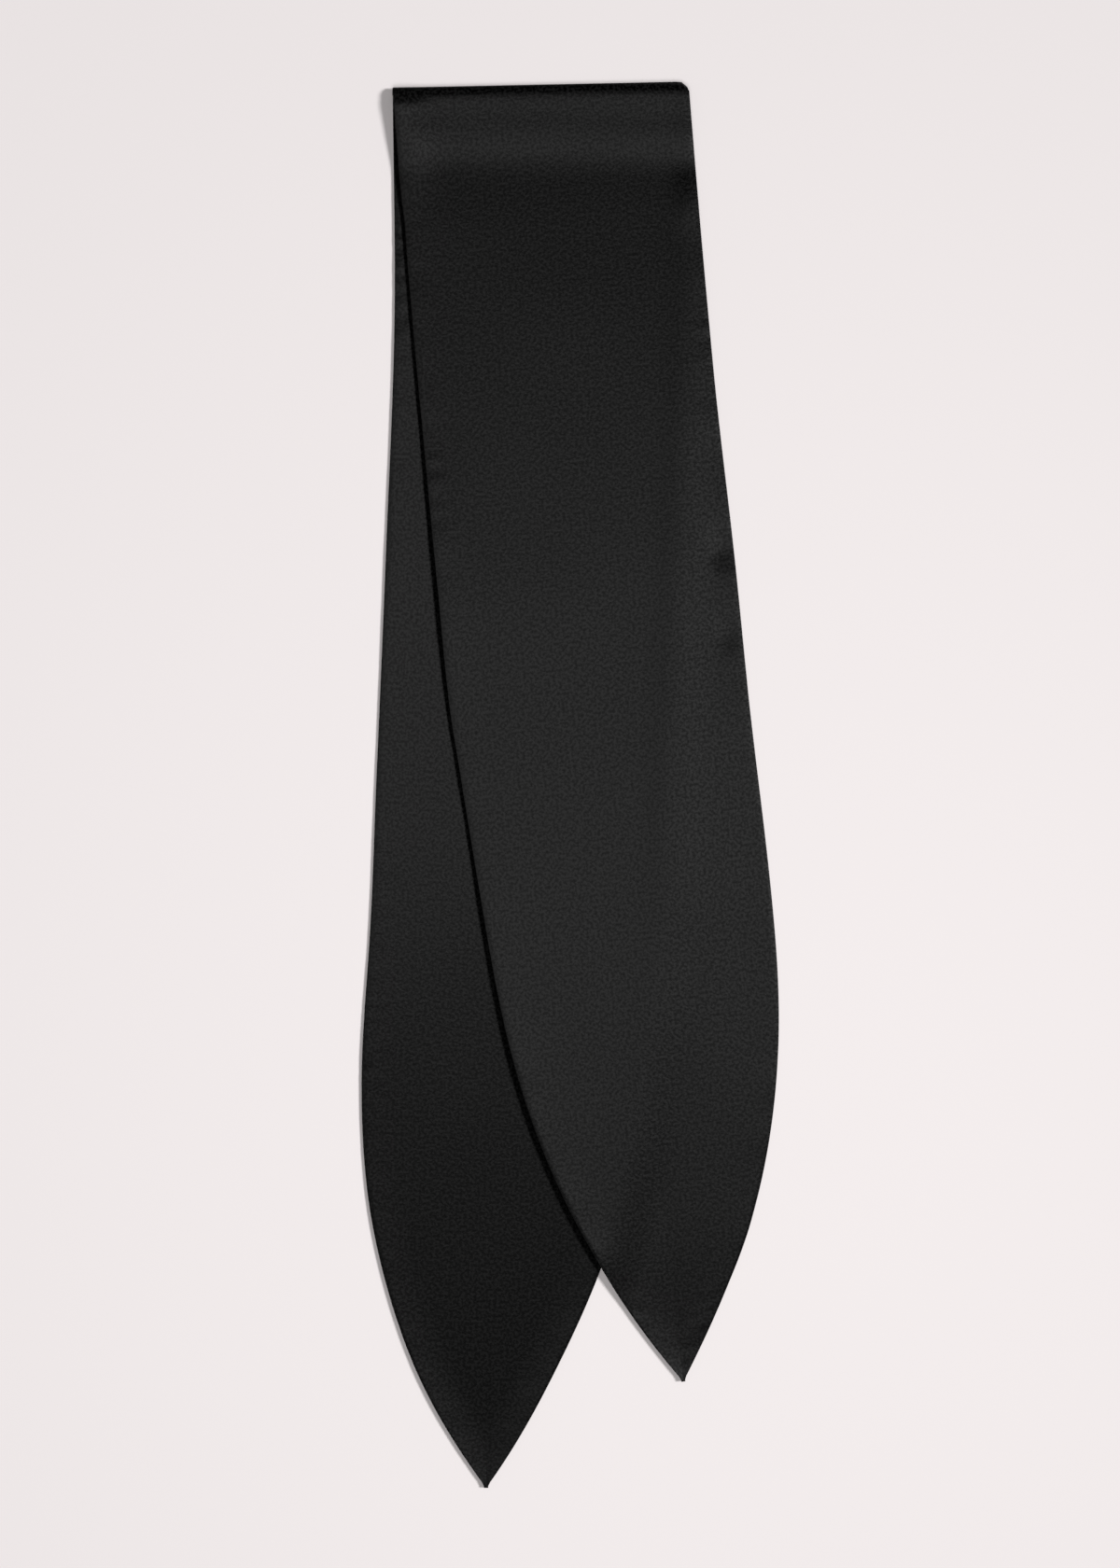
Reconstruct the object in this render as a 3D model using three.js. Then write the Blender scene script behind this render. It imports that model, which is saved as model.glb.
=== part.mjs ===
// Evening scarf: a long narrow satin scarf with leaf-shaped ends, laid flat and folded in half.
// It is sewn double. Two panels of one pattern meet along a seam on the edge, and between them
// each half of the scarf, here called a leaf, is a flat hollow sleeve.
// Units are millimetres. The scarf lies on the plane z = 0, with +Z up, the fold towards +Y and
// the points towards -Y. The origin is the middle of the ground that it covers.

import * as THREE from 'three';

const { degToRad, lerp, smoothstep } = THREE.MathUtils;

// Pattern that each panel is cut to
const HALF_WIDTH = 83;
const POINT_LENGTH = 330;
const POINT_POWER = 2.9; // 2 would be a parabola, and more keeps the shoulders of the point fuller
const TIP_HALF_WIDTH = 1;

// Cloth
const WALL = 1;
const RIM_RADIUS = 0.9; // rounding of a panel's outside face along its edge
const SEAM_GAP = 0.3; // between the two panels at the seam
const LOFT = 0.2; // what the hollow gains at the middle of the leaf
const LEAF_GAP = 0.45; // between the lower leaf and the upper one that lies on it
const LEAF_THICKNESS = 2 * WALL + SEAM_GAP + LOFT;

// Fold
const FOLD_X = -16.2; // middle of the fold
const FOLD_Y = 388;
const FOLD_TURN = degToRad(1); // the fold line climbs a little to the right
const FOLD_TURN_REACH = 80; // how far below the fold the leaves still follow its turn
const ROLL_REACH = 5; // of the roll at the fold, along the scarf
const ROLL_HALF_HEIGHT = 3.2;
const FOLD_SLOPE = 38; // how far the upper leaf takes to sink from the roll of the fold
const SLOPE_EASING = 0.12; // share of the slope over which it steepens, and levels out again

// Drape
const LOWER_LENGTH = 777.5; // from the fold straight down to the tip
const UPPER_LENGTH = 718.5;
const STEP_REACH = 32; // over which the upper leaf comes down past the lower one's right edge
const CURL_REACH = 24; // how far in from an edge its lift begins

// How each leaf lies, one row for each place down its length.
//   drop: distance below the fold
//   shift: how far the middle of the leaf lies to the right of the fold's middle
//   ease: what each half gains on the pattern's half width, as the cloth lies
//   left, right: how high the left and right edges are lifted
const LOWER_LEAF = [
  { drop: 0, shift: 0, ease: -1, left: 0, right: 0 },
  { drop: 130, shift: -0.5, ease: -2.5, left: 0, right: 0 },
  { drop: 260, shift: -5.2, ease: -2.5, left: 0, right: 0 },
  { drop: 390, shift: -10.7, ease: -2.5, left: 0, right: 0 },
  { drop: 480, shift: -15, ease: -2.5, left: 0, right: 0 },
  { drop: 560, shift: -21.9, ease: -1.5, left: 0, right: 0 },
  { drop: 630, shift: -27.1, ease: -0.5, left: 0.2, right: 0 },
  { drop: 700, shift: -30.7, ease: -1, left: 0.4, right: 0.4 },
  { drop: 777.5, shift: -30.4, ease: -2.5, left: 0.8, right: 0.8 },
];
const UPPER_LEAF = [
  { drop: 0, shift: 0, ease: -1, left: 0, right: 0 },
  { drop: 90, shift: 6.7, ease: -0.8, left: 0, right: 0 },
  { drop: 180, shift: 15, ease: -0.6, left: 0, right: 0 },
  { drop: 270, shift: 24.1, ease: 0.5, left: 0, right: 0 },
  { drop: 360, shift: 34.6, ease: -0.3, left: 0.1, right: 0 },
  { drop: 450, shift: 46.8, ease: -1.4, left: 0.4, right: 0 },
  { drop: 540, shift: 58.4, ease: -0.7, left: 1, right: 0 },
  { drop: 630, shift: 69, ease: -1.2, left: 1.2, right: 0.4 },
  { drop: 718.5, shift: 78.8, ease: -8, left: 2, right: 2 },
];

// Fineness of the mesh
const COLUMNS = 12; // across the flat of a panel
const RIM_STEPS = 2;
const FOLD_STEPS = 8;
const SLOPE_ROWS = 6;
const ROW_SPACING = 26;
const EDGE_SAMPLES = 160; // along the lower leaf's edge, to measure distances from it
const LEAN_STEP = 1; // over which a leaf's lean is measured

// A smooth curve through one column of a table, as a function of the drop
function curveOf(rows, column) {
  const drops = rows.map((row) => row.drop);
  const values = rows.map((row) => row[column]);
  const curve = new THREE.CubicInterpolant(drops, values, 1);
  return (drop) => curve.evaluate(drop)[0];
}

// A straight slope from 0 to 1 that is eased at both ends
function easedSlope(share, easing) {
  const ends = 2 * easing * (1 - easing);
  if (share < easing) {
    return Math.max(0, share) ** 2 / ends;
  }
  if (share > 1 - easing) {
    return 1 - Math.max(0, 1 - share) ** 2 / ends;
  }
  return (share - easing / 2) / (1 - easing);
}

// The pattern's half width at a distance from its tip
function patternHalf(fromTip) {
  const intoPoint = Math.max(0, (POINT_LENGTH - fromTip) / POINT_LENGTH);
  return Math.max(TIP_HALF_WIDTH, HALF_WIDTH * (1 - intoPoint ** POINT_POWER));
}

// A leaf in plan, as a function that gives the line across it at a drop: the line's middle, its
// half width, its turn from the X axis and the lift of its two ends
function leafOf(rows, length) {
  const shift = curveOf(rows, 'shift');
  const ease = curveOf(rows, 'ease');
  const left = curveOf(rows, 'left');
  const right = curveOf(rows, 'right');
  const leanAt = (drop) => {
    const from = Math.min(drop, length - LEAN_STEP);
    return Math.atan((shift(from + LEAN_STEP) - shift(from)) / LEAN_STEP);
  };
  return (drop) => {
    const pattern = patternHalf(length - drop);
    return {
      x: FOLD_X + shift(drop),
      y: FOLD_Y - drop,
      half: pattern + (ease(drop) * pattern) / HALF_WIDTH,
      turn: lerp(FOLD_TURN, leanAt(drop), smoothstep(drop, 0, FOLD_TURN_REACH)),
      left: left(drop),
      right: right(drop),
    };
  };
}

// The point of a leaf at a distance across from its middle
function planPoint(line, across) {
  return new THREE.Vector2(
    line.x + across * Math.cos(line.turn),
    line.y + across * Math.sin(line.turn),
  );
}

const lowerLineAt = leafOf(LOWER_LEAF, LOWER_LENGTH);
const upperLineAt = leafOf(UPPER_LEAF, UPPER_LENGTH);

// How far a place in plan lies outside the lower leaf's right edge, negative over the leaf
const lowerRightEdge = Array.from({ length: EDGE_SAMPLES + 1 }, (_, i) => {
  const line = lowerLineAt((LOWER_LENGTH * i) / EDGE_SAMPLES);
  return planPoint(line, line.half);
});
function outsideLowerLeaf(place) {
  let nearest = lowerRightEdge[0];
  for (const edge of lowerRightEdge) {
    if (edge.distanceTo(place) < nearest.distanceTo(place)) {
      nearest = edge;
    }
  }
  return Math.sign(place.x - nearest.x) * nearest.distanceTo(place);
}

// Height of what the upper leaf lies on: the lower leaf, or past its right edge the ground
function bedUnderUpperLeaf(place) {
  const beyond = outsideLowerLeaf(place);
  const onLeaf = 1 - smoothstep(beyond, 0, STEP_REACH);
  return (LEAF_THICKNESS + LEAF_GAP) * onLeaf;
}

// How much a leaf's edges are lifted at a distance across from its middle
function curlOf(line, across) {
  const inReach = smoothstep(Math.abs(across), line.half - CURL_REACH, line.half);
  const lift = lerp(line.left, line.right, 0.5 + across / (2 * line.half));
  return inReach * Math.max(0, lift);
}

// Thickness of both panels and the hollow between them
function leafThickness(line, across) {
  const middle = 1 - (across / line.half) ** 2;
  return 2 * WALL + SEAM_GAP + LOFT * middle * (line.half / HALF_WIDTH);
}

// Each station is one row of the scarf. Its place function gives the point that lies a distance
// across from the middle and a depth below the outer panel's outside face.
function lowerStation(drop) {
  const line = lowerLineAt(drop);
  const place = (across, depth) => {
    const plan = planPoint(line, across);
    return new THREE.Vector3(plan.x, plan.y, curlOf(line, across) + depth);
  };
  return { line, place };
}

function foldStation(angle) {
  const line = lowerLineAt(ROLL_REACH);
  const place = (across, depth) => {
    const ahead = (ROLL_REACH - depth) * Math.sin(angle);
    const rise = (ROLL_HALF_HEIGHT - depth) * Math.cos(angle);
    const plan = planPoint(line, across);
    return new THREE.Vector3(
      plan.x - ahead * Math.sin(FOLD_TURN),
      plan.y + ahead * Math.cos(FOLD_TURN),
      ROLL_HALF_HEIGHT - rise,
    );
  };
  return { line, place };
}

function upperStation(drop) {
  const line = upperLineAt(drop);
  const sunk = easedSlope((drop - ROLL_REACH) / FOLD_SLOPE, SLOPE_EASING);
  const place = (across, depth) => {
    const plan = planPoint(line, across);
    const lying = bedUnderUpperLeaf(plan) + curlOf(line, across) + leafThickness(line, across);
    const top = lerp(2 * ROLL_HALF_HEIGHT, lying, sunk);
    return new THREE.Vector3(plan.x, plan.y, top - depth);
  };
  return { line, place };
}

// Drops of a leaf's rows, from the roll of the fold to the tip
function leafDrops(length) {
  const drops = [];
  for (let i = 0; i < SLOPE_ROWS; i += 1) {
    drops.push(ROLL_REACH + (FOLD_SLOPE * i) / SLOPE_ROWS);
  }
  const slopeEnd = ROLL_REACH + FOLD_SLOPE;
  const rows = Math.ceil((length - slopeEnd) / ROW_SPACING);
  for (let i = 0; i <= rows; i += 1) {
    drops.push(lerp(slopeEnd, length, i / rows));
  }
  return drops;
}

// All stations, from the lower leaf's tip over the fold to the upper leaf's tip
function scarfStations() {
  const stations = leafDrops(LOWER_LENGTH).reverse().map(lowerStation);
  for (let i = 1; i < FOLD_STEPS; i += 1) {
    stations.push(foldStation((Math.PI * i) / FOLD_STEPS));
  }
  return stations.concat(leafDrops(UPPER_LENGTH).map(upperStation));
}

// Half of a panel's section, from its left edge to its right edge: across is the distance from the
// middle, and dip how far the rounded rim lies below the outside face
function sectionAcross(half) {
  const rim = Math.min(RIM_RADIUS, half / 2);
  const section = [];
  for (let i = 0; i <= RIM_STEPS; i += 1) {
    const angle = (Math.PI / 2) * (i / RIM_STEPS);
    section.push({ across: -half + rim * (1 - Math.cos(angle)), dip: rim * (1 - Math.sin(angle)) });
  }
  for (let i = 1; i < COLUMNS; i += 1) {
    section.push({ across: lerp(rim - half, half - rim, i / COLUMNS), dip: 0 });
  }
  for (let i = RIM_STEPS; i >= 0; i -= 1) {
    section.push({ across: -section[i].across, dip: section[i].dip });
  }
  return section;
}

// The closed loop round a panel's wall at one station: over the outside face, then back inside
function wallLoop(station, isOuter) {
  const { line, place } = station;
  const section = sectionAcross(line.half);
  const at = (across, fromOutside) => {
    const depth = isOuter ? fromOutside : leafThickness(line, across) - fromOutside;
    return place(across, depth);
  };
  const outside = section.map(({ across, dip }) => at(across, dip));
  const inside = section.map(({ across }) => at(across, WALL)).reverse();
  return outside.concat(inside);
}

// A closed wall through the loops of all stations, with its two ends capped
function panelGeometry(stations, isOuter) {
  const loops = stations.map((station) => wallLoop(station, isOuter));
  const count = loops[0].length;
  const indices = [];
  const addQuad = (a, b, c, d) => {
    indices.push(...(isOuter ? [a, b, c, a, c, d] : [a, c, b, a, d, c]));
  };
  for (let row = 0; row + 1 < loops.length; row += 1) {
    for (let i = 0; i < count; i += 1) {
      const next = (i + 1) % count;
      const here = row * count;
      const there = here + count;
      addQuad(here + i, there + i, there + next, here + next);
    }
  }
  const lastRow = (loops.length - 1) * count;
  for (let i = 0; i + 1 < count / 2; i += 1) {
    const opposite = count - 1 - i;
    addQuad(i, i + 1, opposite - 1, opposite);
    addQuad(lastRow + opposite, lastRow + opposite - 1, lastRow + i + 1, lastRow + i);
  }
  const geometry = new THREE.BufferGeometry().setFromPoints(loops.flat());
  geometry.setIndex(indices);
  geometry.computeVertexNormals();
  return geometry;
}

function blackSatin() {
  return new THREE.MeshStandardMaterial({ color: 0x1d1d1f, roughness: 0.42, metalness: 0 });
}

function panel(name, stations, isOuter) {
  const mesh = new THREE.Mesh(panelGeometry(stations, isOuter), blackSatin());
  mesh.name = name;
  return mesh;
}

const stations = scarfStations();
const group = new THREE.Group();
group.add(panel('outer_panel', stations, true));
group.add(panel('inner_panel', stations, false));

export default group;
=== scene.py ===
"""Black satin evening scarf, laid flat and folded in half on a pale surface.

The scarf is sewn double: two panels of satin meet along a seam on the edge, so each half of it, here
called a leaf, is a flat sleeve. Lengths are in metres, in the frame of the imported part: +Z is up, the
fold lies towards +Y and the points towards -Y.
"""
import math
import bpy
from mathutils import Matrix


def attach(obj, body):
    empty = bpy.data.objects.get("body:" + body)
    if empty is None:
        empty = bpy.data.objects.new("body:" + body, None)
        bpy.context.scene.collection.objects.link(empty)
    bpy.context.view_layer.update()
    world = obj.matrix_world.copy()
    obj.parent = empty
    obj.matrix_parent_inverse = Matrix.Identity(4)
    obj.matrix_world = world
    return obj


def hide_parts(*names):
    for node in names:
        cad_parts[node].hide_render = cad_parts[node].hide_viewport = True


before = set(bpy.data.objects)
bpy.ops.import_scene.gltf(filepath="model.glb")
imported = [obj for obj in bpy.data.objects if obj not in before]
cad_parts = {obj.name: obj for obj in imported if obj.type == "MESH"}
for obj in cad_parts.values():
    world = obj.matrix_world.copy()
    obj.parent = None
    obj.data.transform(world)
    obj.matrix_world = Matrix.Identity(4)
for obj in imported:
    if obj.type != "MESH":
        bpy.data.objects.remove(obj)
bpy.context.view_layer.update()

from types import SimpleNamespace

import bmesh
import bpy
import numpy as np
from mathutils import Vector

bl_info = {
    "name": "Evening Scarf",
    "version": (1, 0, 0),
    "blender": (4, 5, 0),
    "location": "View3D > Sidebar > Scarf",
    "description": "Lays a folded satin evening scarf and lights it",
    "category": "Object",
}

MM = 0.001

# Pattern of a panel and where the folded scarf lies, nearly as in the solids
POINT_LENGTH = 330 * MM
POINT_POWER = 2.9  # 2 would be a parabola, and more keeps the shoulders of the point fuller
TIP_HALF_WIDTH = 1.2 * MM
TIP_RIM = 1 * MM  # rounding of a leaf's face at the very tip
FOLD_X = -16.2 * MM
FOLD_Y = 388 * MM
FOLD_TURN = math.radians(1.2)
FOLD_TURN_REACH = 80 * MM
LOWER_LENGTH = 777.5 * MM
UPPER_LENGTH = 718.5 * MM
LEAN_STEP = 1 * MM

# How each leaf lies, in millimetres, one row for each place down its length.
#   drop: distance below the fold
#   shift: how far the middle of the leaf lies to the right of the fold's middle
#   ease: what each half gains on the pattern's half width, as the cloth lies
LEAF_COLUMNS = ("drop", "shift", "ease")
LOWER_LEAF = (
    (0, 0, -1),
    (130, -0.5, -2.5),
    (260, -5.2, -2.5),
    (390, -10.7, -2.5),
    (480, -14.7, -2.5),
    (560, -21.6, -1.5),
    (630, -26.7, -0.5),
    (700, -30.3, -1.1),
    (777.5, -30.2, 0.5),
)
UPPER_LEAF = (
    (0, 0, -1),
    (50, 3.9, -0.9),
    (72, 6.1, -1.25),
    (90, 7.5, -1.1),
    (130, 11, -1),
    (180, 15.7, -0.9),
    (270, 25.15, -0.05),
    (338, 32.05, -0.1),
    (360, 35, -0.7),
    (450, 47.7, -2.2),
    (540, 59.5, -1.4),
    (630, 70.1, -2),
    (666, 73.4, -3.1),
    (699, 76.9, -4),
    (718.5, 79.2, -4.5),
)

LIFT_POWER = 1.6  # 1 would be a straight slope up to a lifted edge, and more is steeper at the edge

# How the edges of each leaf are lifted, in millimetres, one row for each place down its length.
#   left, right: height of the left and right edges    reach: how far in from the edge the lift begins
LIFT_COLUMNS = ("drop", "left", "right", "reach")
LOWER_LIFT = (
    (0, 0, 0, 22),
    (540, 0, 0, 22),
    (630, 0.3, 0.1, 22),
    (700, 0.8, 0.8, 22),
    (777.5, 1, 1, 22),
)
UPPER_LIFT = (
    (0, 0, 0, 60),
    (180, 0, 0, 60),
    (237, 0.55, 0, 60),
    (289, 0.6, 0, 60),
    (345, 0.1, 0, 60),
    (395, 0, 0, 60),
    (445, 0.6, 0, 70),
    (497, 0.9, 0, 90),
    (548, 1.5, 0, 110),
    (600, 1.7, 0, 110),
    (647, 1.9, 0.2, 90),
    (678, 1.3, 0.3, 50),
    (699, 1.1, 0.4, 35),
    (718.5, 1.4, 0.9, 30),
)

# Roll of the fold. A part is a pair of distances across from the middle, positive to the right, and what
# is named after it grows from nothing to full between the two.
ROLL_OVERHANG = 0.6 * MM  # how far the roll reaches past the fold's line
LEFT_END = 24 * MM  # how far in from its left end the roll is higher
LEFT_END_DROPS = (-2 * MM, 10 * MM)  # drops between which that height is reached
RIGHT_PART = (10 * MM, 70 * MM)  # where the roll gets a little higher and more pointed
RIGHT_RISE = 0.25 * MM
RIGHT_POWER = 0.5  # what the right part adds to the power of the roll's profile, 1 being an ellipse
RIGHT_CORNER = 5 * MM  # size of the rounded right corner
RIGHT_CORNER_CUT = 0.7  # share of the roll's reach that the corner takes off at the very end

# Slope below the roll, and the crease, a very low rise across it
SLOPE_LEAN = 0.11  # share by which the slope is longer at the right edge and shorter at the left one
SLOPE_EASING = (0.06, 0.36)  # shares of the slope that are eased at its top and at its foot
CREASE_HEIGHT = 0.19 * MM
CREASE_DROP = 27 * MM
CREASE_REACH = 15 * MM
CREASE_PART = (-10 * MM, 60 * MM)  # where the crease moves down and loses height
CREASE_SHIFT = 4 * MM
CREASE_LOSS = 0.25
CREASE_UNEVEN = 0.5  # share by which its height varies
CREASE_LENGTHS = (40 * MM, 120 * MM)  # shortest and longest wave of that variation
CREASE_SEED = 5

# Step down past the lower leaf's right edge, crisp near the points and looser half way up the scarf.
# Distances beyond that edge are negative over the leaf. Places are pairs of y in the plan, and what is
# named before them grows from nothing to full between the two.
STEP_START = -2 * MM
STEP_INWARD = 3 * MM  # how much further in the step begins near the points
STEP_INWARD_PLACES = (-60 * MM, -150 * MM)
LOOSE_REACH = 2.3  # how many times as far as the crisp step the loose one reaches
LOOSE_SHARE = 0.7
LOOSE_PLACES = (-230 * MM, -60 * MM)
LOOSE_LOSS = 0.35  # what the loose step's share loses again towards the fold
LOOSE_LOSS_PLACES = (0, 80 * MM)
RIDGE_HEIGHT = 0.15 * MM  # of the lower leaf's edge as it shows through
RIDGE_SPAN = (-15 * MM, 1 * MM)  # distances beyond the edge
RIDGE_GAIN = 0.3 * MM  # what the ridge gains towards the fold
RIDGE_GAIN_PLACES = (-100 * MM, 0)

# Random waves of the cloth. Lengths are the shortest and the longest wave of each kind.
PUCKER_LENGTHS = (17 * MM, 34 * MM)
GATHER_LENGTHS = (7 * MM, 12 * MM)
PLACE_LENGTHS = (90 * MM, 210 * MM)  # of the places with gathers, which come and go along the seam
GATHER_SLANT = 0.4
BROAD_LENGTHS = (70 * MM, 170 * MM)
SEAM_WAVES = 9  # how many waves add up to the puckers, and to the gathers
PLACE_WAVES = 5  # how many add up to the places with gathers
SIDE_SHIFT = 370 * MM  # keeps the puckers of the two edges different
SEAM_FADE = (2 * MM, 6 * MM)  # from how far in, and to how far past the seam allowance, they fade out
BUMPS_DROP = 50 * MM  # where the bumps have their full height
LOWER_SEED = 358
UPPER_SEED = 23

# Seam allowance: where it begins to fade out, and to how many of its widths
HEM_START = 1 * MM
HEM_FADE = 1.5

# Small dents and rises of the upper leaf's face, in millimetres in the plan.
#   x, y: middle    wide, long: reach to the sides and along the leaf    rise: height, negative for a dent
DENT_COLUMNS = ("x", "y", "wide", "long", "rise")
DENTS = (
    (-87, 366, 11, 34, 1),
    (64.5, 346, 6, 13, -0.36),
    (64.5, 321, 6, 13, 0.36),
    (85, 131, 7, 11, -0.8),
    (88, 85, 6, 10, -0.5),
)

# Fineness of the mesh
COLUMNS = 54
RIM_STEPS = 3
ROLL_STEPS = 18
SLOPE_ROWS = 24
SLOPE_ROWS_REACH = 1.2  # how many lengths of the slope have the finer rows
LEAF_ROWS = 330
EDGE_SAMPLES = 400  # places down a leaf where its edge or its width is measured
PLACES_AT_ONCE = 2000  # for which the distance to the lower leaf's edge is worked out together

# Noise of the satin, in waves for each metre of the flat cloth
WEAVE_SCALE = 620
RELIEF_SCALE = 540
MOTTLE_SCALE = 40
WEAVE_DETAIL = 2
MOTTLE_DETAIL = 3
NOISE_RANGE = (0.2, 0.8)  # what the noise takes up of its full range
THREAD_LEVELS = (0.47, 0.56)  # levels of the noise where the colour changes to the second one
MOTTLE_ROUGHNESS = 0.01

# Stage
FLOOR_HALF_SIZE = 10
FLOOR_SQUARES = 8
FLOOR_ROUGHNESS = 0.85
FLOOR_SHINE = 0.15
# The floor's colour carries a painted pool of light: full tone round one place, darker further away
FLOOR_PAINTED_LIGHT_MIDDLE = (0.14, -0.17, 0)
FLOOR_PAINTED_LIGHT_FADE = 0.88  # painted light: share of the floor colour's brightness that is left a metre away from its brightest place
LIGHT_DISTANCE = 3
FRAME_HEIGHT = 0.8702  # what the long side of the picture covers on the floor
FRAME_MIDDLE = (-5.4 * MM, 0.86 * MM)
SENSOR_WIDTH = 36
VIEW_DISTANCE = 100


class ScarfCloth(bpy.types.PropertyGroup):
    """Sizes of the cloth and of how it lies."""

    panel_width: bpy.props.FloatProperty(
        name="Panel width", description="Width of the scarf's straight part",
        default=0.166, min=0.05, unit="LENGTH")
    wall: bpy.props.FloatProperty(
        name="Satin", description="Thickness of one layer of satin",
        default=0.00045, min=0.0001, unit="LENGTH")
    leaf_thickness: bpy.props.FloatProperty(
        name="Leaf thickness", description="Thickness of both panels and the air between them",
        default=0.0014, min=0.001, unit="LENGTH")
    hem_width: bpy.props.FloatProperty(
        name="Seam allowance", description="Width of the turned-in cloth along the edges",
        default=0.012, min=0.002, unit="LENGTH")
    hem_rise: bpy.props.FloatProperty(
        name="Hem rise", description="What the turned-in cloth adds to a leaf's thickness",
        default=0.0001, min=0, unit="LENGTH")
    rim_radius: bpy.props.FloatProperty(
        name="Rim", description="Rounding of a panel's face down to the seam",
        default=0.0005, min=0.0002, unit="LENGTH")
    seam_gap: bpy.props.FloatProperty(
        name="Seam gap", description="Gap between the two panels at the seam",
        default=0.0001, min=0, unit="LENGTH")
    leaf_gap: bpy.props.FloatProperty(
        name="Leaf gap", description="Gap between the lower leaf and the upper one on it",
        default=0.00015, min=0, unit="LENGTH")
    fold_top: bpy.props.FloatProperty(
        name="Fold height", description="Height of the roll at the fold",
        default=0.0051, min=0.004, unit="LENGTH")
    roll_reach: bpy.props.FloatProperty(
        name="Roll reach", description="How far the roll at the fold reaches along the scarf",
        default=0.0048, min=0.002, unit="LENGTH")
    end_rise: bpy.props.FloatProperty(
        name="End rise", description="What the roll gains in height at its left end",
        default=0.0019, min=0, unit="LENGTH")
    fold_slope: bpy.props.FloatProperty(
        name="Fold slope", description="How far the upper leaf takes to sink from the roll",
        default=0.047, min=0.005, unit="LENGTH")
    step_reach: bpy.props.FloatProperty(
        name="Step reach", description="How far the upper leaf takes to sink past the lower one's edge",
        default=0.026, min=0.005, unit="LENGTH")
    pucker_height: bpy.props.FloatProperty(
        name="Puckers", description="Height of the small waves along the seam",
        default=0.00007, min=0, unit="LENGTH")
    gather_height: bpy.props.FloatProperty(
        name="Gathers", description="Height of the fine gathers in places along the seam",
        default=0.0001, min=0, unit="LENGTH")
    wave_height: bpy.props.FloatProperty(
        name="Waves", description="Height of the broad soft waves of the cloth",
        default=0.0001, min=0, unit="LENGTH")


class SatinLook(bpy.types.PropertyGroup):
    """Colour and shine of the satin."""

    colour: bpy.props.FloatVectorProperty(
        name="Colour", description="Colour of the satin", subtype="COLOR", size=3,
        default=(0.0001, 0.0001, 0.0001), min=0, max=1)
    worn_colour: bpy.props.FloatVectorProperty(
        name="Second colour", description="Colour of the slightly paler threads", subtype="COLOR", size=3,
        default=(0.0056, 0.0056, 0.0056), min=0, max=1)
    roughness: bpy.props.FloatProperty(
        name="Roughness", description="Roughness of the shine",
        default=0.455, min=0, max=1, subtype="FACTOR")
    follow: bpy.props.FloatProperty(
        name="Follow", description="How much the direction of the shine follows the turn of a leaf",
        default=0.34, min=0, max=1, subtype="FACTOR")
    stretch: bpy.props.FloatProperty(
        name="Stretch", description="How much the shine spreads across the threads",
        default=1, min=0, max=1, subtype="FACTOR")
    shine: bpy.props.FloatProperty(
        name="Shine", description="Strength of the shine",
        default=0.088, min=0, max=1, subtype="FACTOR")
    grain: bpy.props.FloatProperty(
        name="Grain", description="How much the fine grain of the weave varies the roughness",
        default=0.14, min=0, max=0.4, subtype="FACTOR")
    grain_height: bpy.props.FloatProperty(
        name="Grain height", description="Depth of the fine grain of the weave",
        default=0.00006, min=0, unit="LENGTH")


class StageLook(bpy.types.PropertyGroup):
    """The surface that the scarf lies on, its light and the camera."""

    floor_colour: bpy.props.FloatVectorProperty(
        name="Floor", description="Colour of the floor", subtype="COLOR", size=3,
        default=(0.83, 0.782, 0.782), min=0, max=1)
    key_strength: bpy.props.FloatProperty(
        name="Key light", description="Strength of the light from the side", default=3.35, min=0)
    key_elevation: bpy.props.FloatProperty(
        name="Key elevation", description="Height of the key light above the floor",
        default=math.radians(38), subtype="ANGLE")
    key_turn: bpy.props.FloatProperty(
        name="Key turn", description="Turn of the key light from the right towards the fold",
        default=math.radians(1.8), subtype="ANGLE")
    key_size: bpy.props.FloatProperty(
        name="Key softness", description="How wide the key light is",
        default=math.radians(13), subtype="ANGLE")
    fill_strength: bpy.props.FloatProperty(
        name="Fill light", description="Strength of the soft light from the front", default=1.2, min=0)
    fill_elevation: bpy.props.FloatProperty(
        name="Fill elevation", description="Height of the fill light above the floor",
        default=math.radians(60), subtype="ANGLE")
    fill_size: bpy.props.FloatProperty(
        name="Fill softness", description="How wide the fill light is",
        default=math.radians(30), subtype="ANGLE")
    room: bpy.props.FloatProperty(
        name="Room", description="Brightness of the dim room around", default=0.1, min=0)
    camera_height: bpy.props.FloatProperty(
        name="Camera height", description="Height of the camera above the floor",
        default=2.2, min=0.5, unit="LENGTH")


def smoothstep(value, start, end):
    """0 before start, 1 after end and a smooth rise between them."""
    share = np.clip((value - start) / (end - start), 0, 1)
    return share * share * (3 - 2 * share)


def eased_slope(share, start, finish):
    """A straight slope from 0 to 1 that is eased over a share of it at each end."""
    steepest = 1 / (1 - start / 2 - finish / 2)
    begun = np.clip(share, 0, start) ** 2 / (2 * start) + np.clip(share - start, 0, None)
    ended = 1 - steepest * np.clip(1 - share, 0, finish) ** 2 / (2 * finish)
    return np.where(share > 1 - finish, ended, steepest * begun)


def curve_through(rows, names, name):
    """A smooth curve through one column of a table, as a function of the drop."""
    table = np.array(rows, float) * MM
    at = table[:, 0]
    value = table[:, names.index(name)]
    secant = np.diff(value) / np.diff(at)
    slope = np.concatenate((secant[:1], (secant[1:] + secant[:-1]) / 2, secant[-1:]))

    def curve(drop):
        i = np.clip(np.searchsorted(at, drop) - 1, 0, len(at) - 2)
        gap = at[i + 1] - at[i]
        t = np.clip((drop - at[i]) / gap, 0, 1)
        from_here = (1 + 2 * t) * (1 - t) ** 2 * value[i] + t * (1 - t) ** 2 * gap * slope[i]
        from_next = t * t * (3 - 2 * t) * value[i + 1] + t * t * (t - 1) * gap * slope[i + 1]
        return from_here + from_next

    return curve


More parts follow.
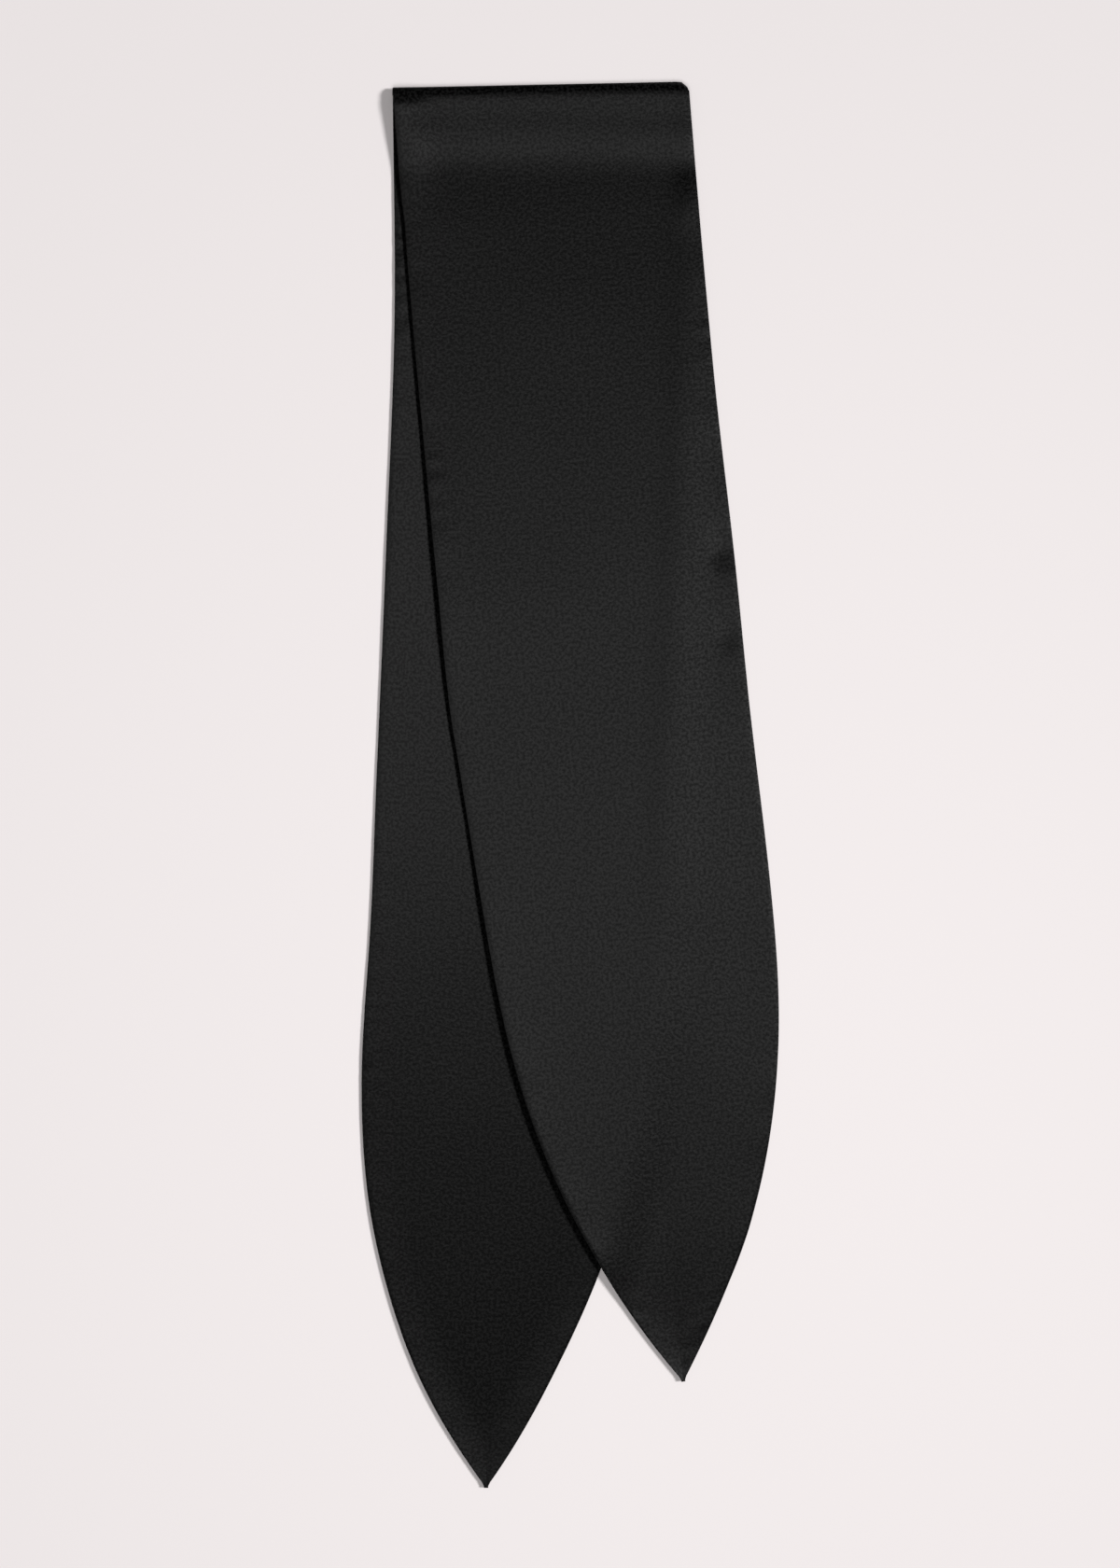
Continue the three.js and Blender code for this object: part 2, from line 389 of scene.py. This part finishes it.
def soft_waves(x, y, seed, shortest, longest, count=14):
    """Soft random waves over a plane, about 1 high at the most."""
    chance = np.random.default_rng(seed)
    total = np.zeros(np.broadcast(x, y).shape)
    for _ in range(count):
        length = chance.uniform(shortest, longest)
        heading = chance.uniform(0, math.pi)
        phase = chance.uniform(0, 2 * math.pi)
        total += np.cos(2 * math.pi * (x * math.cos(heading) + y * math.sin(heading)) / length + phase)
    return total / math.sqrt(2 * count)


def pattern_half(from_tip, half_width):
    """The pattern's half width at a distance from its tip."""
    into_point = np.clip((POINT_LENGTH - from_tip) / POINT_LENGTH, 0, 1)
    return np.maximum(TIP_HALF_WIDTH, half_width * (1 - into_point ** POINT_POWER))


def leaf_of(rows, lifts, length, half_width):
    """A leaf in plan, as a function that gives the lines across it at some drops."""
    curves = {name: curve_through(rows, LEAF_COLUMNS, name) for name in LEAF_COLUMNS[1:]}
    curves.update({name: curve_through(lifts, LIFT_COLUMNS, name) for name in LIFT_COLUMNS[1:]})

    def lines(drop):
        start = np.minimum(drop, length - LEAN_STEP)
        lean = np.arctan((curves["shift"](start + LEAN_STEP) - curves["shift"](start)) / LEAN_STEP)
        follow = smoothstep(drop, 0, FOLD_TURN_REACH)
        pattern = pattern_half(length - drop, half_width)
        narrowing = (pattern - pattern_half(length - drop - LEAN_STEP, half_width)) / LEAN_STEP
        return SimpleNamespace(
            drop=drop,
            x=FOLD_X + curves["shift"](drop),
            y=FOLD_Y - drop,
            pattern=pattern,
            half=pattern + curves["ease"](drop) * pattern / half_width,
            turn=FOLD_TURN + (lean - FOLD_TURN) * follow,
            left=np.maximum(0, curves["left"](drop)),
            right=np.maximum(0, curves["right"](drop)),
            reach=curves["reach"](drop),
            slant=1 / np.sqrt(1 + narrowing ** 2),
            from_tip=length - drop,
        )

    return lines


def across_line(line, across):
    """Plan coordinates of the points at some distances across from a line's middle."""
    return line.x + across * np.cos(line.turn), line.y + across * np.sin(line.turn)


def inset_of(line, across):
    """Distance in from the nearest edge of the leaf, its tip included."""
    side = (line.half - np.abs(across)) * line.slant
    return np.minimum(side, line.from_tip)


def lift_of(line, across):
    """How much the leaf's edges are lifted at a distance across from its middle."""
    in_reach = np.clip(1 - (line.half - np.abs(across)) / line.reach, 0, 1) ** LIFT_POWER
    share = 0.5 + across / (2 * line.half)
    return in_reach * (line.left + (line.right - line.left) * share)


def hem_of(cloth, inset):
    """1 on the turned-in seam allowance along the edges, 0 inside it."""
    return 1 - smoothstep(inset, HEM_START, HEM_FADE * cloth.hem_width)


def puckers_of(cloth, along, side, inset, seed):
    """Small uneven waves along the seam, which fade out past the seam allowance."""
    place = along + side * SIDE_SHIFT
    flat = np.zeros_like(place)
    puckers = cloth.pucker_height * soft_waves(place, flat, seed, *PUCKER_LENGTHS, SEAM_WAVES)
    where = np.clip(soft_waves(place, flat, seed + 2, *PLACE_LENGTHS, PLACE_WAVES), 0, None)
    fine = soft_waves(place, GATHER_SLANT * inset, seed + 3, *GATHER_LENGTHS, SEAM_WAVES)
    gathers = cloth.gather_height * where * fine
    return (puckers + gathers) * (1 - smoothstep(inset, SEAM_FADE[0], cloth.hem_width + SEAM_FADE[1]))


def bumps_of(cloth, line, across, seed):
    """Puckers and broad waves of a leaf's upper face, none at the roll of the fold."""
    puckers = puckers_of(cloth, line.drop, np.sign(across), inset_of(line, across), seed)
    waves = cloth.wave_height * soft_waves(across, line.drop, seed + 1, *BROAD_LENGTHS)
    return (puckers + waves) * smoothstep(line.drop, cloth.roll_reach, BUMPS_DROP)


class Scarf:
    """Where each point of the two panels lies, worked out from the cloth's sizes."""

    def __init__(self, cloth):
        self.cloth = cloth
        half_width = cloth.panel_width / 2
        self.lower_lines = leaf_of(LOWER_LEAF, LOWER_LIFT, LOWER_LENGTH, half_width)
        self.upper_lines = leaf_of(UPPER_LEAF, UPPER_LIFT, UPPER_LENGTH, half_width)
        edge = self.lower_lines(np.linspace(0, LOWER_LENGTH, EDGE_SAMPLES))
        self.edge_x, self.edge_y = across_line(edge, edge.half)
        run_x, run_y = np.gradient(self.edge_x), np.gradient(self.edge_y)
        self.out_x, self.out_y = -run_y / np.hypot(run_x, run_y), run_x / np.hypot(run_x, run_y)
        self.bed_height = cloth.leaf_thickness + cloth.hem_rise + cloth.leaf_gap

    def beyond_lower_leaf(self, x, y):
        """How far places in plan lie outside the lower leaf's right edge, negative over the leaf."""
        flat_x, flat_y = x.ravel(), y.ravel()
        beyond = np.empty(flat_x.shape)
        for start in range(0, len(flat_x), PLACES_AT_ONCE):
            part = slice(start, start + PLACES_AT_ONCE)
            aside = flat_x[part, None] - self.edge_x
            ahead = flat_y[part, None] - self.edge_y
            nearest = np.hypot(aside, ahead).argmin(axis=1)
            rows = np.arange(len(nearest))
            beyond[part] = (aside[rows, nearest] * self.out_x[nearest]
                            + ahead[rows, nearest] * self.out_y[nearest])
        return beyond.reshape(x.shape)

    def bed(self, x, y):
        """Height of what the upper leaf lies on, with the lower leaf's edge showing through."""
        beyond = self.beyond_lower_leaf(x, y) + STEP_INWARD * smoothstep(y, *STEP_INWARD_PLACES)
        crisp = smoothstep(beyond, STEP_START, self.cloth.step_reach)
        loose = smoothstep(beyond, STEP_START, LOOSE_REACH * self.cloth.step_reach)
        share = LOOSE_SHARE * smoothstep(y, *LOOSE_PLACES) - LOOSE_LOSS * smoothstep(y, *LOOSE_LOSS_PLACES)
        on_leaf = 1 - crisp + (crisp - loose) * share
        height = RIDGE_HEIGHT + RIDGE_GAIN * smoothstep(y, *RIDGE_GAIN_PLACES)
        ridge = height * smoothstep(beyond, *RIDGE_SPAN)
        return (self.bed_height + ridge) * on_leaf

    def thickness(self, line, across):
        """Thickness of a leaf that lies smooth, more on the turned-in seam allowance."""
        return self.cloth.leaf_thickness + self.cloth.hem_rise * hem_of(self.cloth, inset_of(line, across))

    def crest(self, line, across):
        """Height of the roll at the fold, more at its left end and a little more towards the right."""
        left_end = 1 - smoothstep(line.half + across, 0, LEFT_END)
        left_rise = self.cloth.end_rise * left_end * smoothstep(line.drop, *LEFT_END_DROPS)
        return self.cloth.fold_top + left_rise + RIGHT_RISE * smoothstep(across, *RIGHT_PART)

    def lower_points(self, line, across, depth_of):
        """Points of the lower leaf, at a depth below the outer panel's outside face."""
        x, y = across_line(line, across)
        thick = self.thickness(line, across) + bumps_of(self.cloth, line, across, LOWER_SEED)
        return x, y, lift_of(line, across) + depth_of(thick)

    def roll_points(self, line, across, angle, depth_of):
        """Points round the roll of the fold, which is a little more pointed towards the right."""
        x, y = across_line(line, across)
        depth = depth_of(self.thickness(line, across))
        middle = self.crest(line, across) / 2
        corner = np.clip(1 - (line.half - across) / RIGHT_CORNER, 0, 1)
        reach = (self.cloth.roll_reach + ROLL_OVERHANG) * (1 - RIGHT_CORNER_CUT * corner ** 2)
        ahead = (reach - depth) * np.sin(angle)
        power = 1 + RIGHT_POWER * smoothstep(across, *RIGHT_PART)
        z = middle - (middle - depth) * np.sign(np.cos(angle)) * np.abs(np.cos(angle)) ** power
        return x - ahead * math.sin(FOLD_TURN), y + ahead * math.cos(FOLD_TURN), z

    def fold_crease(self, line, across):
        """A very low rise across the slope of the fold, weaker and further down towards the right."""
        to_right = smoothstep(across, *CREASE_PART)
        place = (line.drop - CREASE_DROP - CREASE_SHIFT * to_right) / CREASE_REACH
        hump = np.where(np.abs(place) < 1, np.cos(place * math.pi / 2) ** 2, 0)
        uneven = 1 + CREASE_UNEVEN * soft_waves(across, line.drop * 0, CREASE_SEED, *CREASE_LENGTHS)
        return CREASE_HEIGHT * hump * uneven * (1 - CREASE_LOSS * to_right)

    def dents(self, x, y):
        """The table's small dents and rises."""
        total = np.zeros(x.shape)
        for row in DENTS:
            dent = dict(zip(DENT_COLUMNS, row))
            aside = (x / MM - dent["x"]) / dent["wide"]
            ahead = (y / MM - dent["y"]) / dent["long"]
            total += dent["rise"] * MM * np.exp(-(aside ** 2 + ahead ** 2))
        return total

    def upper_points(self, line, across, depth_of):
        """Points of the upper leaf, at a depth below the outer panel's outside face."""
        x, y = across_line(line, across)
        thick = self.thickness(line, across)
        lying = self.bed(x, y) + lift_of(line, across) + thick
        crest = self.crest(line, across)
        slope = self.cloth.fold_slope * (1 + SLOPE_LEAN * across / line.half)
        sunk = eased_slope((line.drop - self.cloth.roll_reach) / slope, *SLOPE_EASING)
        bumps = bumps_of(self.cloth, line, across, UPPER_SEED)
        bumps = bumps + self.fold_crease(line, across) + self.dents(x, y) * sunk
        return x, y, crest + (lying - crest) * sunk + bumps - depth_of(thick + bumps)


def rim_dip(cloth, inset, half_depth):
    """How far a panel's face has dropped towards the seam at a distance in from the edge."""
    share = 1 - np.clip(inset / cloth.rim_radius, 0, 1)
    return half_depth * (1 - np.sqrt(1 - share ** 2))


def rim_shares():
    """Distances in from an edge round the rim, as shares of its radius."""
    return 1 - np.cos(np.linspace(0, math.pi / 2, RIM_STEPS + 1))


def columns_across(cloth, half):
    """Distances across from the middle for every column of one row."""
    rim = np.minimum(cloth.rim_radius, half / 2)[:, None]
    half = half[:, None]
    left = -half + rim * rim_shares()
    flat = (half - rim) * np.linspace(-1, 1, COLUMNS + 1)[1:-1]
    return np.hstack((left, flat, -left[:, ::-1]))


def drops_down(length, roll, slope):
    """Drops of a leaf's rows, from the roll of the fold to the round rim of its tip."""
    near = np.linspace(roll, roll + SLOPE_ROWS_REACH * slope, SLOPE_ROWS, endpoint=False)
    rest = np.linspace(roll + SLOPE_ROWS_REACH * slope, length - TIP_RIM, LEAF_ROWS)
    rim = length - TIP_RIM * rim_shares()[::-1][1:]
    return np.concatenate((near, rest, rim))


def panel_points(cloth, outer):
    """Points of one panel's outside face and their places on the flat cloth, row by row.

    The four results are the points, their distance across the flat cloth, the distance of each row
    along it, and how far each point lies along the cloth from its row's middle, as the row is turned.
    """
    scarf = Scarf(cloth)
    lower = scarf.lower_lines(drops_down(LOWER_LENGTH, cloth.roll_reach, cloth.fold_slope)[::-1])
    angles = np.linspace(0, math.pi, ROLL_STEPS + 1)[1:-1]
    turning = scarf.lower_lines(np.full(len(angles), cloth.roll_reach))
    upper = scarf.upper_lines(drops_down(UPPER_LENGTH, cloth.roll_reach, cloth.fold_slope))

    parts = []
    pattern_across = []
    turned = []
    for line, runs, place in (
        (lower, 1, scarf.lower_points),
        (turning, -1, lambda row, across, depth: scarf.roll_points(row, across, angles[:, None], depth)),
        (upper, -1, scarf.upper_points),
    ):
        across = columns_across(cloth, line.half)
        row = SimpleNamespace(**{name: value[:, None] for name, value in vars(line).items()})
        inset = inset_of(row, across)

        def depth_of(thickness):
            dip = rim_dip(cloth, inset, (thickness - cloth.seam_gap) / 2)
            return dip if outer else thickness - dip

        x, y, z = place(row, across, depth_of)
        parts.append(np.dstack(np.broadcast_arrays(x, y, z)))
        pattern_across.append(across / row.half * row.pattern)
        turned.append(runs * across * np.sin(row.turn))
    points = np.concatenate(parts)
    middle = points[:, points.shape[1] // 2]
    along = np.concatenate(([0], np.cumsum(np.linalg.norm(np.diff(middle, axis=0), axis=1))))
    return points, np.concatenate(pattern_across), along, np.concatenate(turned)


def lay_panel(name, cloth, follow, outer):
    """One satin panel: a flat grid of cloth, laid in its place and given its thickness."""
    points, across, along, turned = panel_points(cloth, outer)
    rows, columns = points.shape[:2]
    cloth_mesh = bmesh.new()
    made = bmesh.ops.create_grid(
        cloth_mesh, x_segments=columns - 1, y_segments=rows - 1, size=1, calc_uvs=True)
    flat_place = {}
    shine_place = {}
    for vert in made["verts"]:
        column = round((vert.co.x + 1) / 2 * (columns - 1))
        row = round((vert.co.y + 1) / 2 * (rows - 1))
        flat_place[vert] = (across[row, column], along[row])
        shine_place[vert] = (across[row, column], along[row] + (1 - follow) * turned[row, column])
        vert.co = points[row, column]
    flat_map = cloth_mesh.loops.layers.uv.verify()
    shine_map = cloth_mesh.loops.layers.uv.new("shine")
    for face in cloth_mesh.faces:
        face.smooth = True
        for loop in face.loops:
            loop[flat_map].uv = flat_place[loop.vert]
            loop[shine_map].uv = shine_place[loop.vert]
    cloth_mesh.normal_update()
    crown = max(cloth_mesh.faces, key=lambda face: face.calc_center_median().z)
    if (crown.normal.z > 0) != outer:
        bmesh.ops.reverse_faces(cloth_mesh, faces=cloth_mesh.faces)
    mesh = bpy.data.meshes.new(name)
    cloth_mesh.to_mesh(mesh)
    cloth_mesh.free()
    mesh.uv_layers[0].name = "cloth"
    panel = bpy.data.objects.new(name, mesh)
    bpy.context.scene.collection.objects.link(panel)
    wall = panel.modifiers.new("Satin", "SOLIDIFY")
    wall.thickness = cloth.wall
    wall.offset = -1
    return panel, float(along[-1])


def add_node(nodes, kind, **settings):
    """A shader node whose properties or input sockets are set by name."""
    node = nodes.new(kind)
    for name, value in settings.items():
        if hasattr(node, name):
            setattr(node, name, value)
        else:
            node.inputs[name.replace("_", " ")].default_value = value
    return node


def satin_material(look):
    """Black satin: its shine is narrow along the cloth and broad across it."""
    material = bpy.data.materials.new("black_satin")
    material.use_nodes = True
    nodes, links = material.node_tree.nodes, material.node_tree.links
    shader = nodes["Principled BSDF"]
    shader.inputs["Anisotropic"].default_value = look.stretch
    shader.inputs["Specular IOR Level"].default_value = look.shine
    across = add_node(nodes, "ShaderNodeTangent", direction_type="UV_MAP", uv_map="shine")
    links.new(across.outputs["Tangent"], shader.inputs["Tangent"])
    flat = add_node(nodes, "ShaderNodeUVMap", uv_map="cloth")

    def noise(scale, detail):
        texture = add_node(nodes, "ShaderNodeTexNoise", Scale=scale, Detail=detail)
        links.new(flat.outputs["UV"], texture.inputs["Vector"])
        return texture.outputs["Fac"]

    def spread(value, low, high):
        level = add_node(nodes, "ShaderNodeMapRange")
        level.inputs["From Min"].default_value, level.inputs["From Max"].default_value = NOISE_RANGE
        level.inputs["To Min"].default_value, level.inputs["To Max"].default_value = low, high
        links.new(value, level.inputs["Value"])
        return level.outputs["Result"]

    weave = noise(WEAVE_SCALE, WEAVE_DETAIL)
    mottle = noise(MOTTLE_SCALE, MOTTLE_DETAIL)

    tone = add_node(nodes, "ShaderNodeValToRGB")
    colours = (look.colour, look.worn_colour)
    for element, position, colour in zip(tone.color_ramp.elements, THREAD_LEVELS, colours):
        element.position = position
        element.color = (*colour, 1)
    links.new(weave, tone.inputs["Fac"])
    links.new(tone.outputs["Color"], shader.inputs["Base Color"])

    rough = add_node(nodes, "ShaderNodeMath", operation="ADD")
    links.new(spread(weave, look.roughness + look.grain, look.roughness - look.grain), rough.inputs[0])
    links.new(spread(mottle, -MOTTLE_ROUGHNESS, MOTTLE_ROUGHNESS), rough.inputs[1])
    links.new(rough.outputs["Value"], shader.inputs["Roughness"])

    grain = add_node(nodes, "ShaderNodeBump", Strength=1, Distance=look.grain_height)
    links.new(noise(RELIEF_SCALE, WEAVE_DETAIL), grain.inputs["Height"])
    links.new(grain.outputs["Normal"], shader.inputs["Normal"])
    return material


class SCARF_OT_lay_panels(bpy.types.Operator):
    """Lay the outer and the inner satin panel in place of the two plain solids"""

    bl_idname = "scarf.lay_panels"
    bl_label = "Lay the satin panels"

    def execute(self, context):
        cloth = context.scene.scarf_cloth
        satin = satin_material(context.scene.scarf_satin)
        for node, outer in (("outer_panel", True), ("inner_panel", False)):
            panel, length = lay_panel(
                node.replace("panel", "satin"), cloth, context.scene.scarf_satin.follow, outer)
            panel.data.materials.append(satin)
            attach(panel, "root")
            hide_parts(node)
        return {"FINISHED"}


def floor_material(look):
    """A pale smooth surface whose colour is painted lighter to the right of the scarf's widest part and
    darker away from it, a painted pool of light.
    """
    material = bpy.data.materials.new("pale_floor")
    material.use_nodes = True
    nodes, links = material.node_tree.nodes, material.node_tree.links
    shader = nodes["Principled BSDF"]
    shader.inputs["Roughness"].default_value = FLOOR_ROUGHNESS
    shader.inputs["Specular IOR Level"].default_value = FLOOR_SHINE
    place = add_node(nodes, "ShaderNodeTexCoord")
    away = add_node(nodes, "ShaderNodeVectorMath", operation="DISTANCE")
    away.inputs[1].default_value = FLOOR_PAINTED_LIGHT_MIDDLE
    links.new(place.outputs["Object"], away.inputs[0])
    # painted light: the floor colour fades from its full tone at the brightest place to a darker one a
    # metre away
    tone = add_node(nodes, "ShaderNodeValToRGB")
    tone.color_ramp.interpolation = "EASE"
    tone.color_ramp.elements[0].color = (*look.floor_colour, 1)
    tone.color_ramp.elements[1].color = (*(FLOOR_PAINTED_LIGHT_FADE * value for value in look.floor_colour), 1)
    links.new(away.outputs["Value"], tone.inputs["Fac"])
    links.new(tone.outputs["Color"], shader.inputs["Base Color"])
    return material


def room_light(look):
    """A dim even room."""
    world = bpy.data.worlds.new("room")
    world.use_nodes = True
    background = world.node_tree.nodes["Background"]
    background.inputs["Color"].default_value = (1, 1, 1, 1)
    background.inputs["Strength"].default_value = look.room
    bpy.context.scene.world = world


def add_light(name, strength, elevation, turn, size):
    """A distant soft light, turned from +X towards +Y."""
    light = bpy.data.lights.new(name, "SUN")
    light.energy = strength
    light.angle = size
    lamp = bpy.data.objects.new(name, light)
    lamp.location = LIGHT_DISTANCE * Vector((
        math.cos(elevation) * math.cos(turn), math.cos(elevation) * math.sin(turn), math.sin(elevation)))
    lamp.rotation_euler = (-lamp.location).to_track_quat("-Z", "Y").to_euler()
    bpy.context.scene.collection.objects.link(lamp)


def add_camera(look):
    """A camera that looks straight down and frames the scarf as the photo does."""
    camera = bpy.data.cameras.new("camera")
    camera.sensor_width = SENSOR_WIDTH
    camera.lens = SENSOR_WIDTH * look.camera_height / FRAME_HEIGHT
    camera.clip_end = VIEW_DISTANCE
    holder = bpy.data.objects.new("camera", camera)
    holder.location = (*FRAME_MIDDLE, look.camera_height)
    bpy.context.scene.collection.objects.link(holder)
    bpy.context.scene.camera = holder


class SCARF_OT_set_stage(bpy.types.Operator):
    """Make the floor, the light and the camera"""

    bl_idname = "scarf.set_stage"
    bl_label = "Set the stage"

    def execute(self, context):
        look = context.scene.scarf_stage
        shape = bmesh.new()
        bmesh.ops.create_grid(
            shape, x_segments=FLOOR_SQUARES, y_segments=FLOOR_SQUARES, size=FLOOR_HALF_SIZE)
        mesh = bpy.data.meshes.new("floor")
        shape.to_mesh(mesh)
        shape.free()
        mesh.materials.append(floor_material(look))
        floor = bpy.data.objects.new("floor", mesh)
        context.scene.collection.objects.link(floor)
        room_light(look)
        add_light("key", look.key_strength, look.key_elevation, look.key_turn, look.key_size)
        add_light("fill", look.fill_strength, look.fill_elevation, math.radians(-90), look.fill_size)
        add_camera(look)
        context.scene.view_settings.view_transform = "Standard"
        return {"FINISHED"}


class SCARF_PT_sidebar(bpy.types.Panel):
    """Lists the scarf's parts and their sizes"""

    bl_label = "Evening Scarf"
    bl_idname = "SCARF_PT_sidebar"
    bl_space_type = "VIEW_3D"
    bl_region_type = "UI"
    bl_category = "Scarf"

    def draw(self, context):
        for label, group, operator in (
            ("Cloth", context.scene.scarf_cloth, SCARF_OT_lay_panels.bl_idname),
            ("Satin", context.scene.scarf_satin, None),
            ("Stage", context.scene.scarf_stage, SCARF_OT_set_stage.bl_idname),
        ):
            box = self.layout.box()
            box.label(text=label)
            for name in group.__annotations__:
                box.prop(group, name)
            if operator:
                box.operator(operator)


CLASSES = (ScarfCloth, SatinLook, StageLook, SCARF_OT_lay_panels, SCARF_OT_set_stage, SCARF_PT_sidebar)


def register():
    for cls in CLASSES:
        bpy.utils.register_class(cls)
    bpy.types.Scene.scarf_cloth = bpy.props.PointerProperty(type=ScarfCloth)
    bpy.types.Scene.scarf_satin = bpy.props.PointerProperty(type=SatinLook)
    bpy.types.Scene.scarf_stage = bpy.props.PointerProperty(type=StageLook)


def unregister():
    del bpy.types.Scene.scarf_cloth
    del bpy.types.Scene.scarf_satin
    del bpy.types.Scene.scarf_stage
    for cls in reversed(CLASSES):
        bpy.utils.unregister_class(cls)


def main():
    register()
    bpy.ops.scarf.lay_panels()
    bpy.ops.scarf.set_stage()


if __name__ == "__main__":
    main()
